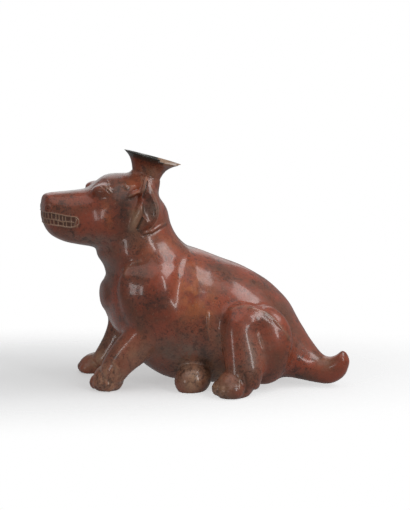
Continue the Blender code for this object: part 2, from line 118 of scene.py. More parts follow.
# Neck: throat line, then nape line, from the shoulders up into the head
NECK = [
    Ring((-0.092, 0.088), (0.002, 0.096), 0.050),
    Ring((-0.103, 0.112), (0.008, 0.122), 0.0630),
    Ring((-0.1090, 0.135), (-0.0085, 0.152), 0.0570),
    Ring((-0.1170, 0.149), (-0.0235, 0.168), 0.052),
    Ring((-0.116, 0.162), (-0.0315, 0.184), 0.049),
    Ring((-0.110, 0.182), (-0.0360, 0.202), 0.046),
    Ring((-0.098, 0.205), (-0.0480, 0.2190), 0.040),
]
NECK_DOME = 0.006

# Head: the line of nose, brow and crown, then the line of chin and jaw
HEAD = [
    Ring((-0.1755, 0.2215), (-0.1775, 0.188), 0.0190, square=3.0),
    Ring((-0.169, 0.2225), (-0.171, 0.1755), 0.0235, square=2.8),
    Ring((-0.155, 0.2235), (-0.156, 0.1670), 0.027, square=2.5),
    Ring((-0.138, 0.2250), (-0.138, 0.1625), 0.031, square=2.4),
    Ring((-0.127, 0.2270), (-0.124, 0.1595), 0.036, square=2.3),
    Ring((-0.117, 0.2340), (-0.111, 0.155), 0.042, square=2.2),
    Ring((-0.105, 0.2415), (-0.098, 0.152), 0.046, square=2.2),
    Ring((-0.086, 0.2430), (-0.080, 0.149), 0.048, square=2.2),
    Ring((-0.067, 0.2400), (-0.059, 0.155), 0.046, square=2.1),
    Ring((-0.053, 0.2300), (-0.046, 0.170), 0.038),
]
NOSE_DOME = 0.0025
NAPE_DOME = 0.0065

# Forelegs: front line, then back line, from the shoulder down to the wrist
NEAR_FORELEG = [
    Ring((-0.082, 0.146), (-0.028, 0.146), 0.012, -0.042),
    Ring((-0.096, 0.134), (-0.022, 0.132), 0.018, -0.047),
    Ring((-0.100, 0.116), (-0.022, 0.112), 0.021, -0.049),
    Ring((-0.098, 0.098), (-0.028, 0.088), 0.021, -0.049),
    Ring((-0.0935, 0.084), (-0.036, 0.072), 0.020, -0.049),
    Ring((-0.0895, 0.0735), (-0.0440, 0.059), 0.018, -0.049),
    Ring((-0.0980, 0.0625), (-0.0530, 0.047), 0.0175, -0.048),
    Ring((-0.1090, 0.0495), (-0.068, 0.032), 0.0165, -0.047),
    Ring((-0.1185, 0.0350), (-0.0855, 0.020), 0.0155, -0.047),
    Ring((-0.1230, 0.0230), (-0.0980, 0.007), 0.0140, -0.047),
]
FAR_FORELEG = [
    Ring((-0.082, 0.146), (-0.032, 0.146), 0.012, 0.041),
    Ring((-0.095, 0.134), (-0.026, 0.132), 0.018, 0.046),
    Ring((-0.101, 0.114), (-0.026, 0.110), 0.021, 0.047),
    Ring((-0.1045, 0.084), (-0.034, 0.084), 0.021, 0.045),
    Ring((-0.0995, 0.066), (-0.048, 0.052), 0.019, 0.042),
    Ring((-0.1040, 0.048), (-0.062, 0.032), 0.017, 0.041),
    Ring((-0.1110, 0.033), (-0.078, 0.015), 0.016, 0.041),
    Ring((-0.1190, 0.020), (-0.092, 0.003), 0.014, 0.041),
]
LEG_DOME = 0.004

# Near hind leg, where it stands: front line, then back line, from the raised knee down to the heel
NEAR_SHANK = [
    Ring((0.0300, 0.097), (0.0560, 0.093), 0.012, -0.070),
    Ring((0.0235, 0.087), (0.0600, 0.080), 0.016, -0.075),
    Ring((0.0205, 0.071), (0.0610, 0.067), 0.017, -0.079),
    Ring((0.0215, 0.053), (0.0660, 0.049), 0.018, -0.083),
    Ring((0.0225, 0.038), (0.0680, 0.029), 0.018, -0.088),
    Ring((0.0240, 0.024), (0.0610, 0.007), 0.017, -0.092),
]

# The crest along the top of the near thigh, from the knee back to the rump
THIGH_CREST = [
    Ring((0.0270, 0.0930), (0.0370, 0.0810), 0.008, -0.071),
    Ring((0.0410, 0.1010), (0.0430, 0.0780), 0.011, -0.073),
    Ring((0.0590, 0.0980), (0.0520, 0.0720), 0.012, -0.074),
    Ring((0.0770, 0.0900), (0.0640, 0.0660), 0.012, -0.073),
    Ring((0.0900, 0.0790), (0.0760, 0.0600), 0.012, -0.070),
    Ring((0.0985, 0.0650), (0.0860, 0.0570), 0.011, -0.066),
    Ring((0.1035, 0.0520), (0.0920, 0.0470), 0.008, -0.060),
]
CREST_DOME = 0.005


class Blob(NamedTuple):
    """An ellipsoid: its centre, its three radii, and its turns in degrees."""

    centre: tuple
    radii: tuple
    yaw: float = 0.0
    pitch: float = 0.0


BROWS = [Blob((-0.111, side * 0.0265, 0.2255), (0.016, 0.0135, 0.0078)) for side in (-1, 1)]
NEAR_HAUNCH = Blob((0.070, -0.062, 0.051), (0.034, 0.027, 0.046), yaw=-14.0)
NEAR_THIGH = Blob((0.043, -0.071, 0.080), (0.026, 0.019, 0.019), yaw=-14.0)
FAR_HAUNCH = Blob((0.057, 0.050, 0.050), (0.043, 0.024, 0.045))
TUCKED_LEG = Blob((-0.004, -0.040, 0.018), (0.018, 0.034, 0.017), yaw=-20.0)


class Paw(NamedTuple):
    """A paw on the ground: the middle of its sole, its size, the way its toes point, and how many show."""

    middle: tuple
    half_length: float
    half_width: float
    height: float
    yaw: float
    toes: int


# A yaw of 0 points the toes along -X, and a positive one turns them towards the near side
PAWS = [
    Paw((-0.1060, -0.0470), 0.0190, 0.0170, 0.029, 42.0, 4),
    Paw((-0.121, 0.043), 0.0195, 0.0160, 0.023, 5.0, 4),
    Paw((0.035, -0.091), 0.0255, 0.0190, 0.031, 38.0, 4),
    Paw((-0.010, -0.060), 0.0235, 0.0195, 0.031, 42.0, 0),
]
PAD_HEIGHT = 1.2
PAD_RISE = 0.8
PAD_PITCH = -16.0
TOE_LENGTH = 0.44
TOE_WIDTH = 0.33
TOE_RISE = 0.28
TOE_REACH = 0.62
OUTER_TOE_SETBACK = 0.12
TOE_FAN_WIDTH = 0.9
TOE_FAN_DEGREES = 28.0

# Ears: leaves that stand up against the sides of the head: front edge, then back edge, from the base up
EAR = [
    Ring((-0.0875, 0.178), (-0.0660, 0.178), 0.0070, 0.040),
    Ring((-0.0860, 0.191), (-0.0545, 0.190), 0.0110, 0.0425),
    Ring((-0.0800, 0.205), (-0.0500, 0.203), 0.0125, 0.0435),
    Ring((-0.0735, 0.219), (-0.0545, 0.218), 0.0110, 0.0425),
    Ring((-0.0700, 0.231), (-0.0590, 0.231), 0.0075, 0.0410),
    Ring((-0.0665, 0.2405), (-0.0635, 0.2405), 0.0028, 0.0400),
]
EAR_DOME = 0.002
EAR_SCOOP = Blob((-0.0640, 0.0565, 0.2100), (0.0095, 0.0072, 0.0240), pitch=-10.0)
EAR_RIDGE = Blob((-0.0785, 0.0400, 0.2235), (0.0120, 0.0060, 0.0034), pitch=-22.0)

# The middle of the mouth, and how the skin round it is felt for
MOUTH_CENTRE = (-0.150, 0.0, 0.1922)
LIP_RADIUS = 0.0013
MOUTH_SAMPLES = 200
NOSTRIL = Blob((-0.1735, 0.0170, 0.2060), (0.0030, 0.0034, 0.0022))

# The root of the spout, which spreads softly into crown and nape
SPOUT_ROOT = [
    Ring((-0.0860, 0.2180), (-0.0430, 0.1990), 0.0300),
    Ring((-0.0820, 0.2350), (-0.0455, 0.2170), 0.0250),
    Ring((-0.0775, 0.2440), (-0.0430, 0.2310), 0.0185),
    Ring((-0.0755, 0.2490), (-0.0430, 0.2370), 0.0160),
]
ROOT_DOME = 0.001

# Nearly flat ends, inside the clay or open to the air
INNER_DOME = 0.002
FLAT_DOME = 0.0001
BORE_DOME = 0.012

# Spout: front line, then back line, from inside the crown up to the rim
SPOUT = [
    Ring((-0.0740, 0.2180), (-0.0500, 0.2120), 0.0130),
    Ring((-0.0755, 0.2380), (-0.0460, 0.2280), 0.0150),
    Ring((-0.0755, 0.2480), (-0.0430, 0.2365), 0.0165),
    Ring((-0.0770, 0.2580), (-0.0370, 0.2445), 0.0195),
    Ring((-0.0800, 0.2645), (-0.0285, 0.2490), 0.0255),
    Ring((-0.0845, 0.2700), (-0.0185, 0.2515), 0.0335),
]
SPOUT_STEPS = 2
RIM_HEIGHT_OVER_BORE = 0.004
RIM_SLOPE = 0.28

# The chip along the back of the rim, on the near side: the middle of its bed, its length, width and depth
CHIP_MIDDLE = (-0.0305, -0.0180, 0.2549)
CHIP_SIZE = (0.0320, 0.0420, 0.0044)


def swung(point):
    """The point of the straight body, carried round by the bend of the spine."""
    ahead = max(0.0, FRONT_BEND_FROM - point.x)
    behind = max(0.0, point.x - REAR_BEND_FROM)
    middle_y = -FRONT_BEND * ahead**2 - REAR_BEND * behind**2
    turn = math.atan(2 * FRONT_BEND * ahead - 2 * REAR_BEND * behind)
    return Vector((point.x - point.y * math.sin(turn), middle_y + point.y * math.cos(turn), point.z))


def in_place(point):
    return point


def catmull_rom(before, start, end, after, t):
    return 0.5 * (
        2 * start
        + (end - before) * t
        + (2 * before - 5 * start + 4 * end - after) * t**2
        + (3 * start - before - 3 * end + after) * t**3
    )


def flat(ring):
    return Vector((*ring.edge, *ring.other_edge, ring.half_width, ring.y, ring.square))


def smooth_rings(rings, steps):
    """The rings as vectors, with more rings between them on a smooth curve."""
    keys = [flat(ring) for ring in rings]
    keys = [2 * keys[0] - keys[1], *keys, 2 * keys[-1] - keys[-2]]
    made = []
    for i in range(1, len(keys) - 2):
        for step in range(steps):
            made.append(catmull_rom(*keys[i - 1 : i + 3], step / steps))
    return [*made, keys[-2]]


def dome(ring, outward, length):
    """Rings that close an end with a round dome of this length."""
    made = []
    for k in range(1, DOME_RINGS + 1):
        angle = math.pi / 2 * k / (DOME_RINGS + 0.35)
        scale = math.cos(angle)
        shift = outward * length * math.sin(angle)
        middle_x = (ring[0] + ring[2]) / 2
        middle_z = (ring[1] + ring[3]) / 2
        half_x = (ring[0] - ring[2]) / 2 * scale
        half_z = (ring[1] - ring[3]) / 2 * scale
        made.append(
            Vector((
                middle_x + half_x + shift.x,
                middle_z + half_z + shift.y,
                middle_x - half_x + shift.x,
                middle_z - half_z + shift.y,
                ring[4] * scale,
                ring[5],
                ring[6],
            ))
        )
    return made


def end_direction(ring, inner_ring):
    """The way out of an end ring, square to its plane in the side view."""
    across = Vector((ring[0] - ring[2], ring[1] - ring[3])).normalized()
    out = Vector((-across.y, across.x))
    run = Vector((ring[0] + ring[2] - inner_ring[0] - inner_ring[2],
                  ring[1] + ring[3] - inner_ring[1] - inner_ring[3]))
    return out if out.dot(run) > 0 else -out


def signed_power(value, power):
    return math.copysign(abs(value) ** power, value)


def ring_points(ring):
    middle = Vector(((ring[0] + ring[2]) / 2, (ring[1] + ring[3]) / 2))
    half = Vector(((ring[0] - ring[2]) / 2, (ring[1] - ring[3]) / 2))
    power = 2 / ring[6]
    for k in range(SIDES):
        angle = 2 * math.pi * k / SIDES
        along = signed_power(math.cos(angle), power)
        across = signed_power(math.sin(angle), power)
        yield Vector((middle.x + half.x * along, ring[5] + ring[4] * across, middle.y + half.y * along))


def add_loft(bm, rings, start_dome, end_dome, bend=swung, steps=STEPS_BETWEEN_RINGS):
    """Adds a closed form through the rings, with a dome at each end."""
    keys = smooth_rings(rings, steps)
    head = dome(keys[0], end_direction(keys[0], keys[1]), start_dome)
    tail = dome(keys[-1], end_direction(keys[-1], keys[-2]), end_dome)
    loops = [[bm.verts.new(bend(p)) for p in ring_points(key)] for key in [*reversed(head), *keys, *tail]]
    faces = [bm.faces.new(loops[0]), bm.faces.new(loops[-1])]
    for one, two in zip(loops, loops[1:]):
        for k in range(SIDES):
            following = (k + 1) % SIDES
            faces.append(bm.faces.new((one[k], two[k], two[following], one[following])))
    bmesh.ops.recalc_face_normals(bm, faces=faces)


def add_blob(bm, blob, bend=swung, subdivisions=4):
    """Adds an ellipsoid, turned and then carried round with the body."""
    matrix = (
        Matrix.Translation(blob.centre)
        @ Matrix.Rotation(math.radians(blob.yaw), 4, "Z")
        @ Matrix.Rotation(math.radians(blob.pitch), 4, "Y")
        @ Matrix.Diagonal((*blob.radii, 1.0))
    )
    made = bmesh.ops.create_icosphere(bm, subdivisions=subdivisions, radius=1.0, matrix=matrix)
    for vert in made["verts"]:
        vert.co = bend(vert.co)


def add_paw(bm, paw):
    """Adds the pad of a paw and a fan of toes at its front."""
    x, y = paw.middle
    half = paw.height / 2
    pad = (paw.half_length, paw.half_width, half * PAD_HEIGHT)
    add_blob(bm, Blob((x, y, half * PAD_RISE), pad, paw.yaw, PAD_PITCH), in_place)
    turn = Matrix.Rotation(math.radians(paw.yaw), 3, "Z")
    for k in range(paw.toes):
        across = (k - (paw.toes - 1) / 2) / paw.toes * 2
        reach = paw.half_length * (TOE_REACH - OUTER_TOE_SETBACK * across**2)
        local = Vector((-reach, across * paw.half_width * TOE_FAN_WIDTH, paw.height * TOE_RISE))
        place = turn @ local
        toe = Blob(
            (x + place.x, y + place.y, place.z),
            (paw.half_length * TOE_LENGTH, paw.half_width * TOE_WIDTH, paw.height * TOE_RISE),
            paw.yaw + TOE_FAN_DEGREES * across,
        )
        add_blob(bm, toe, in_place)


def on_side(rings, side):
    return [ring._replace(y=side * ring.y) for ring in rings]


def blob_on_side(blob, side):
    x, y, z = blob.centre
    return blob._replace(centre=(x, side * y, z))


def scoop_form(side):
    """The hollow of an ear, which opens outwards."""
    bm = bmesh.new()
    add_blob(bm, blob_on_side(EAR_SCOOP, side), subdivisions=3)
    return object_from(bm, "ear_scoop")


def object_from(bm, name):
    mesh = bpy.data.meshes.new(name)
    bm.to_mesh(mesh)
    bm.free()
    obj = bpy.data.objects.new(name, mesh)
    bpy.context.scene.collection.objects.link(obj)
    return obj


def bake(obj):
    """Gives the object the mesh that its modifiers make, and takes the modifiers off."""
    graph = bpy.context.evaluated_depsgraph_get()
    made = bpy.data.meshes.new_from_object(obj.evaluated_get(graph))
    obj.modifiers.clear()
    old = obj.data
    obj.data = made
    bpy.data.meshes.remove(old)


def fuse(obj, voxel, passes):
    """Makes one skin of overlapping forms, and softens the joins between them."""
    remesh = obj.modifiers.new("fuse", "REMESH")
    remesh.mode = "VOXEL"
    remesh.voxel_size = voxel
    smooth = obj.modifiers.new("soften", "SMOOTH")
    smooth.factor = 0.5
    smooth.iterations = passes
    bake(obj)


def skin_point(skin, turn, height):
    """The point of the muzzle at this height over the middle of the mouth, seen from inside at this angle."""
    x, y, z = MOUTH_CENTRE
    start = Vector((x, y, z + height))
    ahead = start + LIP_RADIUS * Vector((-math.cos(turn), math.sin(turn), 0))
    spot, _, _, _ = skin.ray_cast(swung(start), (swung(ahead) - swung(start)).normalized())
    return spot


def nostril_form(side):
    bm = bmesh.new()
    add_blob(bm, blob_on_side(NOSTRIL, side), subdivisions=2)
    return object_from(bm, "nostril")


def thin_out(obj, triangles):
    count = sum(len(face.vertices) - 2 for face in obj.data.polygons)
    decimate = obj.modifiers.new("thin", "DECIMATE")
    decimate.ratio = triangles / count
    decimate.use_collapse_triangulate = True
    bake(obj)


def boolean(obj, other, operation):
    modifier = obj.modifiers.new(operation.lower(), "BOOLEAN")
    modifier.object = other
    modifier.operation = operation
    modifier.solver = "MANIFOLD"
    bake(obj)
    bpy.data.objects.remove(other)


def soft_forms():
    """The large forms, whose joins flow into each other."""
    bm = bmesh.new()
    add_loft(bm, TORSO, CHEST_DOME, TAIL_DOME)
    add_loft(bm, NECK, NECK_DOME, NECK_DOME)
    add_loft(bm, HEAD, NOSE_DOME, NAPE_DOME)
    for leg in (NEAR_FORELEG, FAR_FORELEG):
        add_loft(bm, leg, LEG_DOME, LEG_DOME)
    add_loft(bm, NEAR_SHANK, LEG_DOME, LEG_DOME, in_place)
    add_loft(bm, THIGH_CREST, CREST_DOME, CREST_DOME, in_place)
    add_loft(bm, SPOUT_ROOT, ROOT_DOME, ROOT_DOME)
    for blob in (*BROWS, FAR_HAUNCH):
        add_blob(bm, blob)
    for blob in (NEAR_HAUNCH, NEAR_THIGH, TUCKED_LEG):
        add_blob(bm, blob, in_place)
    return object_from(bm, "dog_vessel")


def add_crisp_forms(obj):
    """The small forms, which keep their edges: paws, toes and ears."""
    bm = bmesh.new()
    bm.from_mesh(obj.data)
    for paw in PAWS:
        add_paw(bm, paw)
    for side in (-1, 1):
        add_loft(bm, on_side(EAR, side), EAR_DOME, EAR_DOME)
        add_blob(bm, blob_on_side(EAR_RIDGE, side))
    bm.to_mesh(obj.data)
    bm.free()


def cut_soles(obj):
    """Cuts everything flat at the plane that the dog rests on."""
    bm = bmesh.new()
    bm.from_mesh(obj.data)
    cut = bmesh.ops.bisect_plane(
        bm,
        geom=[*bm.verts, *bm.edges, *bm.faces],
        dist=1e-6,
        plane_co=(0, 0, 0),
        plane_no=(0, 0, -1),
        clear_outer=True,
    )
    edges = [item for item in cut["geom_cut"] if isinstance(item, bmesh.types.BMEdge)]
    bmesh.ops.holes_fill(bm, edges=edges)
    bmesh.ops.triangulate(bm, faces=bm.faces)
    bm.to_mesh(obj.data)
    bm.free()


def shrunk(ring, wall):
    """The ring moved in by the thickness of the wall."""
    edge = Vector(ring.edge)
    other = Vector(ring.other_edge)
    inward = (other - edge).normalized() * wall
    return ring._replace(
        edge=tuple(edge + inward),
        other_edge=tuple(other - inward),
        half_width=ring.half_width - wall,
    )


def hollow_form():
    """The space inside chest, belly, neck and head."""
    bm = bmesh.new()
    add_loft(bm, [shrunk(ring, WALL) for ring in TORSO[1:12]], INNER_DOME, INNER_DOME)
    add_loft(bm, [shrunk(ring, WALL) for ring in NECK[1:]], INNER_DOME, INNER_DOME)
    add_loft(bm, [shrunk(ring, WALL) for ring in HEAD[1:]], INNER_DOME, NAPE_DOME - WALL)
    obj = object_from(bm, "hollow")
    fuse(obj, HOLLOW_VOXEL, HOLLOW_PASSES)
    thin_out(obj, INSIDE_TRIANGLES)
    return obj


def spout_form():
    bm = bmesh.new()
    add_loft(bm, SPOUT, INNER_DOME, FLAT_DOME, steps=SPOUT_STEPS)
    return object_from(bm, "spout")


def bore_form():
    """The throat of the spout, from above its rim down into the hollow head."""
    rings = [shrunk(ring, SPOUT_WALL) for ring in SPOUT]
    top = rings[-1]
    up = RIM_HEIGHT_OVER_BORE
    over = top._replace(
        edge=(top.edge[0] + up * RIM_SLOPE, top.edge[1] + up),
        other_edge=(top.other_edge[0] + up * RIM_SLOPE, top.other_edge[1] + up),
    )
    bm = bmesh.new()
    add_loft(bm, [*rings, over], BORE_DOME, FLAT_DOME, steps=SPOUT_STEPS)
    return object_from(bm, "bore")


def chip_form():
    """What has broken off the rim."""
    bm = bmesh.new()
    matrix = (
        Matrix.Translation(swung(Vector(CHIP_MIDDLE)))
        @ Matrix.Rotation(math.atan(RIM_SLOPE), 4, "Y")
        @ Matrix.Diagonal((*CHIP_SIZE, 1.0))
    )
    bmesh.ops.create_cube(bm, size=1.0, matrix=matrix)
    return object_from(bm, "chip")


class Mark(NamedTuple):
    """A line drawn on the side of the dog, as (x, z): half its width, how far it stands out, its wear and painted
    highlight, and its dirt and painted shade.
    """

    path: tuple
    width: float
    height: float
    rub: float = 0.0
    dirt: float = 0.0
    near_only: bool = False


# Drawn on the straight body
# The pale lines on these marks are wear, and on the ridges noted below also painted highlight; the dark in their
# grooves is dirt and painted shade
BODY_MARKS = [
    # The eye: a slanting slit with hatched lines over it
    Mark(((-0.1165, 0.2330), (-0.1127, 0.2290), (-0.1070, 0.2238)), 0.0008, -0.0006, dirt=0.4),
    Mark(((-0.1152, 0.2338), (-0.1112, 0.2298), (-0.1058, 0.2248)), 0.0009, 0.0006, rub=0.9),
    Mark(((-0.1128, 0.2335), (-0.1098, 0.2300)), 0.0007, 0.0005, rub=0.8),
    Mark(((-0.1182, 0.2312), (-0.1150, 0.2285)), 0.0007, 0.0004, rub=0.6),
    Mark(((-0.1070, 0.2348), (-0.1072, 0.2305)), 0.0012, 0.0009, rub=0.8),
    # The small boss on the temple, in its ring
    Mark(((-0.0877, 0.2310), (-0.0873, 0.2312)), 0.0017, 0.0014, rub=0.7),
    Mark(((-0.0915, 0.2305), (-0.0895, 0.2275), (-0.0862, 0.2270), (-0.0838, 0.2290)), 0.0010, -0.0006, dirt=0.7),
    Mark(((-0.0850, 0.2308), (-0.0775, 0.2318)), 0.0009, 0.0005, rub=0.5),
    # The ridge that runs forward from the ear, with a painted highlight along it and painted shade in the groove under
    # it
    Mark(((-0.0855, 0.2200), (-0.0775, 0.2238), (-0.0712, 0.2252), (-0.0668, 0.2285)), 0.0012, 0.0009, rub=0.8),
    Mark(((-0.0845, 0.2168), (-0.0770, 0.2200), (-0.0715, 0.2215)), 0.0018, -0.0004, dirt=0.3),
    # The ear: its rims, the incision in front of its bowl, and the shadow under its lobe; the dark in the incision and
    # under the lobe is painted shade
    Mark(((-0.0668, 0.2400), (-0.0685, 0.2320), (-0.0705, 0.2265)), 0.0010, 0.0008, rub=0.8),
    Mark(((-0.0640, 0.2365), (-0.0668, 0.2290), (-0.0705, 0.2190)), 0.0008, -0.0014, dirt=1.0),
    Mark(((-0.0630, 0.2390), (-0.0590, 0.2290), (-0.0560, 0.2190), (-0.0512, 0.2090), (-0.0508, 0.2000),
          (-0.0545, 0.1900), (-0.0620, 0.1815)), 0.0010, 0.0010, rub=0.7),
    Mark(((-0.0698, 0.2090), (-0.0700, 0.2000), (-0.0745, 0.1900), (-0.0770, 0.1840)), 0.0016, -0.0018, dirt=0.9),
    # The rough lobe at the front of the ear
    Mark(((-0.0740, 0.2060), (-0.0775, 0.1985), (-0.0820, 0.1905), (-0.0842, 0.1835)), 0.0038, 0.0018, rub=0.8),
    # Creases below and behind the ear
    Mark(((-0.0680, 0.1790), (-0.0590, 0.1805), (-0.0500, 0.1850), (-0.0420, 0.1875)), 0.0013, 0.0008, rub=0.4),
    Mark(((-0.0690, 0.1760), (-0.0590, 0.1775), (-0.0490, 0.1820), (-0.0400, 0.1850)), 0.0015, -0.0009, dirt=0.5),
    # The arc over the shoulder, and the fold in the flank in front of the raised knee, whose pale line is a painted
    # highlight
    Mark(((-0.0740, 0.1475), (-0.0830, 0.1455), (-0.0905, 0.1400), (-0.0935, 0.1330)), 0.0022, 0.0011, rub=0.4),
    Mark(((0.0130, 0.0900), (0.0125, 0.0750), (0.0165, 0.0600)), 0.0022, 0.0010, rub=0.3, near_only=True),
]

# Drawn on the near hind leg and the paws, where they stand
LIMB_MARKS = [
    # The crest of the thigh, with a painted highlight along it
    Mark(((0.0300, 0.0955), (0.0390, 0.0990), (0.0470, 0.0990), (0.0570, 0.0960), (0.0690, 0.0915), (0.0790, 0.0840),
          (0.0890, 0.0725), (0.0970, 0.0600)), 0.0016, 0.0009, rub=0.6, near_only=True),
    # The edge of the calf against the haunch, with a painted highlight along it
    Mark(((0.0590, 0.0720), (0.0640, 0.0610), (0.0665, 0.0500)), 0.0014, 0.0003, rub=0.4, near_only=True),
    # Toes of the near forepaw, and a painted highlight on its knuckle
    Mark(((-0.1190, 0.0190), (-0.1180, 0.0070)), 0.0009, -0.0006, dirt=0.5, near_only=True),
    Mark(((-0.1125, 0.0180), (-0.1110, 0.0060)), 0.0009, -0.0007, dirt=0.5, near_only=True),
    Mark(((-0.1060, 0.0170), (-0.1050, 0.0060)), 0.0009, -0.0006, dirt=0.5, near_only=True),
    Mark(((-0.1010, 0.0350), (-0.0970, 0.0285), (-0.0985, 0.0225)), 0.0012, 0.0007, rub=0.7, near_only=True),
    # Toes of the near hind paw
    Mark(((0.0150, 0.0150), (0.0120, 0.0060)), 0.0009, -0.0005, dirt=0.4, near_only=True),
    Mark(((0.0430, 0.0270), (0.0455, 0.0150), (0.0440, 0.0070)), 0.0016, -0.0009, dirt=0.5, near_only=True),
    Mark(((0.0370, 0.0260), (0.0370, 0.0130)), 0.0016, 0.0007, rub=0.5, near_only=True),
]

# The mouth, drawn on the skin round the muzzle: distance forward from its corner, and height over its middle
MOUTH_CORNER_TURN = 105.0
MOUTH_LINE_WIDTH = 0.00062
MOUTH_LINE_HEIGHT = 0.0008
MOUTH_DEPTH = 0.0008
MOUTH_FRONT = 0.060
UPPER_LIP = ((0.0015, 0.0030), (0.0045, 0.0046), (0.0078, 0.0047), (0.0145, 0.0056), (0.0200, 0.0070),
             (0.0257, 0.0080), (0.0330, 0.0096), (MOUTH_FRONT, 0.0098))
LOWER_LIP = ((0.0022, -0.0052), (0.0055, -0.0068), (0.0100, -0.0073), (0.0165, -0.0065), (0.0200, -0.0056),
             (0.0260, -0.0050), (0.0330, -0.0040), (MOUTH_FRONT, -0.0035))
BITE = ((0.0055, -0.0018), (0.0110, -0.0010), (0.0150, -0.0004), (0.0195, -0.0010), (0.0235, 0.0006),
        (0.0290, 0.0018), (MOUTH_FRONT, 0.0030))
INNER_CORNER = ((0.0045, 0.0046), (0.0030, 0.0010), (0.0040, -0.0030), (0.0055, -0.0068))
OUTER_CORNER = ((0.0028, 0.0044), (0.0004, 0.0012), (0.0004, -0.0032), (0.0022, -0.0072))
UPPER_GAPS = (0.0088, 0.0066, 0.0034, 0.0040, 0.0036, 0.0050, 0.0044, 0.0046, 0.0046, 0.0046)
LOWER_GAPS = (0.0087, 0.0058, 0.0036, 0.0060, 0.0050, 0.0044, 0.0048, 0.0046, 0.0046)


class Swelling(NamedTuple):
    """A broad rise or hollow with steep sides: its middle and reach in the side view, and its height."""

    middle: tuple
    reach: tuple
    height: float


# The shoulder, and the hollow between it and the ribs
SWELLINGS = [
    Swelling((-0.0570, 0.1120), (0.0210, 0.0340), 0.0038),
    Swelling((-0.0225, 0.1160), (0.0140, 0.0330), -0.0020),
]


class Stain(NamedTuple):
    """A soft patch of colour: which colour, its middle and reach in the side view, and how strong it is."""

    colour: str
    middle: tuple
    reach: tuple
    amount: float


STAINS = [
    Stain("orange", (-0.0100, 0.1120), (0.0200, 0.0280), 1.0),
    Stain("orange", (0.0130, 0.1000), (0.0120, 0.0230), 0.8),
    Stain("orange", (-0.1110, 0.2000), (0.0060, 0.0180), 0.5),
    Stain("orange", (-0.0800, 0.2300), (0.0120, 0.0060), 0.5),
    Stain("orange", (-0.0800, 0.2480), (0.0090, 0.0090), 0.4),
    Stain("orange", (-0.0480, 0.1650), (0.0300, 0.0120), 0.35),
    # Grey: a grey film on the clay, and on the undersides of belly, jaw, chest and haunch also painted reflection of
    # the pale floor
    Stain("grey", (-0.0200, 0.0400), (0.0450, 0.0280), 1.0),
    Stain("grey", (-0.1300, 0.1680), (0.0350, 0.0110), 0.9),
    Stain("grey", (-0.1050, 0.1600), (0.0120, 0.0160), 0.6),
    Stain("grey", (0.0300, 0.0650), (0.0130, 0.0220), 0.7),
    Stain("grey", (0.0850, 0.0500), (0.0180, 0.0200), 0.8),
    Stain("grey", (-0.0600, 0.0450), (0.0250, 0.0180), 0.5),
    Stain("grey", (-0.0580, 0.2050), (0.0090, 0.0200), 0.9),
    # Dark: firing stains and mottles, and painted shade where noted
    Stain("dark", (-0.0920, 0.2080), (0.0120, 0.0200), 1.0),
    Stain("dark", (-0.0980, 0.2260), (0.0080, 0.0070), 0.8),
    Stain("dark", (-0.0930, 0.1990), (0.0080, 0.0080), 0.9),
    # Painted shade in the ear's front fold
    Stain("dark", (-0.0650, 0.2230), (0.0065, 0.0160), 0.9),
    Stain("dark", (-0.0560, 0.1050), (0.0150, 0.0190), 0.8),
    # Painted shadow between the belly and the near hind leg
    Stain("dark", (0.0080, 0.0330), (0.0100, 0.0280), 1.0),
    Stain("dark", (0.0020, 0.1180), (0.0070, 0.0150), 0.55),
    Stain("dark", (0.0160, 0.1170), (0.0060, 0.0140), 0.5),
    Stain("dark", (-0.0550, 0.2480), (0.0200, 0.0140), 0.6),
    # Painted shade along the top of the back
    Stain("dark", (0.0250, 0.1400), (0.0300, 0.0100), 0.35),
    Stain("dark", (0.0380, 0.0840), (0.0130, 0.0090), 0.6),
    Stain("tan", (-0.1120, 0.0160), (0.0200, 0.0200), 0.9),
    Stain("tan", (-0.0120, 0.0160), (0.0180, 0.0170), 0.9),
    Stain("tan", (0.0260, 0.0140), (0.0260, 0.0190), 0.9),
    Stain("tan", (-0.0850, 0.0420), (0.0250, 0.0220), 0.45),
    Stain("tan", (0.0300, 0.0450), (0.0180, 0.0250), 0.35),
    Stain("tan", (-0.0785, 0.1950), (0.0062, 0.0125), 1.0),
    Stain("tan", (-0.0560, 0.2440), (0.0180, 0.0110), 0.5),
    Stain("tan", (0.1480, 0.0300), (0.0080, 0.0120), 0.3),
]
STAIN_COLOURS = ("orange", "grey", "dark", "tan")

# The nostril's raised edge
NOSTRIL_EDGE_RADIUS = 0.0044
NOSTRIL_EDGE_WIDTH = 0.0010
NOSTRIL_EDGE_HEIGHT = 0.0007

# How uneven the hand-made surface is: size of the waves and their height
WAVES = ((0.030, 0.0006), (0.011, 0.00012), (0.0045, 0.00003))

# How pale the worn lines are away from the mouth, where on ridges they are partly painted highlight, and in it; how
# dark the inside of the mouth is with dirt and painted shade; and how deep the smoked band round the rim is
LINE_WEAR_AND_HIGHLIGHT = 0.42
MOUTH_RUB = 0.85
MOUTH_DIRT_AND_SHADE = 0.6
RIM_BAND = 0.0058
RIM_BAND_EDGE = 0.0016
RIM_CHIPPED_FROM = -0.0425

# Where faces are cut, they show what they are cut in
OUTER_SKIN, RAW_CLAY, SOOTED_THROAT = range(3)


def mesh_points(mesh):
    flat_points = np.empty(len(mesh.vertices) * 3)
    mesh.vertices.foreach_get("co", flat_points)
    return flat_points.reshape(-1, 3)


def mesh_normals(mesh):
    flat_normals = np.empty(len(mesh.vertices) * 3, np.float32)
    mesh.vertex_normals.foreach_get("vector", flat_normals)
    return flat_normals.reshape(-1, 3).astype(float)


def set_points(mesh, points):
    mesh.vertices.foreach_set("co", points.ravel())
    mesh.update()


